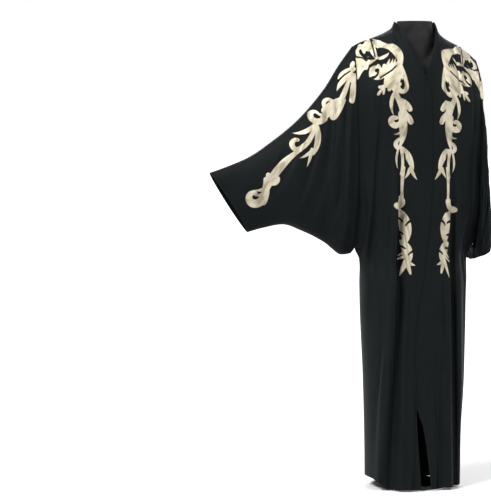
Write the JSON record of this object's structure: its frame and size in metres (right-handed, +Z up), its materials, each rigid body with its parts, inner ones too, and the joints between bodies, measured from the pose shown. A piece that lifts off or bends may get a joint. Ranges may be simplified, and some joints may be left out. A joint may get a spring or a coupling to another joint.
{
  "type": "batwing abaya on a dress form",
  "caption": "Long black open-front abaya with wide batwing sleeves and gold scroll appliqué, standing on a limbless dress form.",
  "frame": {"origin": "middle of the stand's flat underside, on the floor", "axes": "+Z up along the dress form's axis, -Y towards the garment's open front, +X towards the wearer's left"},
  "size_m": [0.9246, 0.2798, 1.483],
  "materials": {
    "crepe": "matt crepe weave with a faint sheen",
    "gold": "champagne satin with a stitched edge",
    "jersey": "matt black jersey stretched over foam",
    "steel": "satin black"
  },
  "bodies": {
    "root": {"front_right": "crepe", "front_left": "crepe", "back": "crepe", "sleeve_right": "crepe", "sleeve_left": "crepe", "gold_front_right": "gold", "gold_front_left": "gold", "gold_sleeve_right": "gold", "gold_sleeve_left": "gold", "dress_form": "jersey", "stand_pole": "steel", "stand_base": "steel"}
  },
  "joints": []
}
